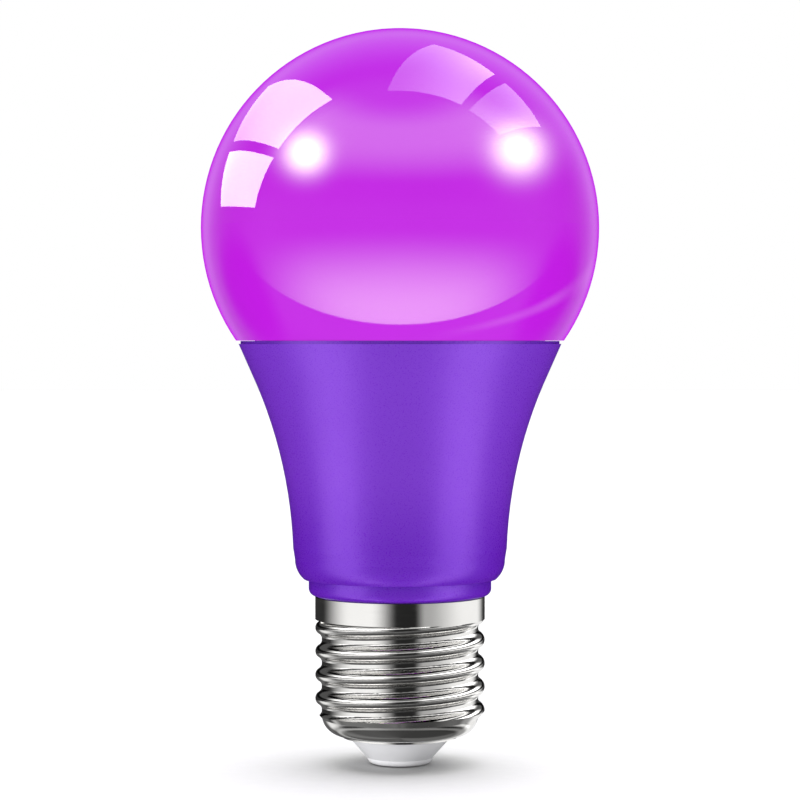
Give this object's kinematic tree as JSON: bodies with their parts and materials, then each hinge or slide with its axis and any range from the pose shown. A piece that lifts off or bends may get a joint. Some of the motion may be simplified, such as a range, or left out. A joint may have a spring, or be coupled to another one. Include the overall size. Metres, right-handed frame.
{
  "type": "smart light bulb",
  "caption": "LED smart bulb with a tinted round globe, a flared housing and a right-hand Edison screw base.",
  "frame": {"origin": "middle of the centre contact's face, the lowest point of the bulb's axis", "axes": "+Z along the bulb's axis from the screw base to the globe; +X and +Y across it, with the driver's tall parts on -Y"},
  "size_m": [0.0614, 0.0614, 0.1134],
  "materials": {
    "globe_tint": "gloss",
    "housing_plastic": "satin",
    "nickel_plate": "polished",
    "white_plastic": "satin",
    "contact_metal": "satin",
    "spun_aluminium": "satin",
    "thermal_silicone": "matte",
    "clear_silicone": "satin",
    "white_board": "satin",
    "phosphor": "satin",
    "white_package": "gloss",
    "screw_steel": "bright",
    "plated_pins": "bright",
    "black_plastic": "matte",
    "driver_laminate": "satin",
    "radio_laminate": "satin",
    "capacitor_sleeve": "gloss",
    "yellow_case": "gloss",
    "blue_coat": "gloss",
    "resistor_coat": "matte",
    "ferrite": "matte",
    "winding_tape": "gloss",
    "copper": "bright",
    "tinned_wire": "bright",
    "chip_ceramic": "matte",
    "resistor_film": "matte"
  },
  "bodies": {
    "root": {"globe": "globe_tint", "globe_sealant": "clear_silicone", "housing": "housing_plastic", "screw_shell": "nickel_plate", "insulator": "white_plastic", "centre_contact": "contact_metal", "heat_sink": "spun_aluminium", "thermal_pad": "thermal_silicone", "led_board": "white_board", "white_leds": "phosphor", "color_leds": "white_package", "board_screws": "screw_steel", "led_pins": "plated_pins", "pin_strip": "black_plastic", "led_socket": "white_package", "driver_board": "driver_laminate", "input_capacitor": "capacitor_sleeve", "output_capacitor": "capacitor_sleeve", "film_capacitor": "yellow_case", "varistor": "blue_coat", "fuse_resistor": "resistor_coat", "transformer_core": "ferrite", "transformer_bobbin": "black_plastic", "transformer_winding": "winding_tape", "inductor_core": "ferrite", "inductor_winding": "copper", "bridge_rectifier": "black_plastic", "driver_ic": "black_plastic", "chip_legs": "tinned_wire", "output_diode": "black_plastic", "chip_resistors": "resistor_film", "chip_capacitors": "chip_ceramic", "radio_board": "radio_laminate", "radio_header": "black_plastic", "radio_chip": "black_plastic", "radio_crystal": "screw_steel", "flash_memory": "black_plastic", "antenna": "copper", "live_lead": "tinned_wire", "neutral_lead": "tinned_wire"}
  },
  "joints": []
}
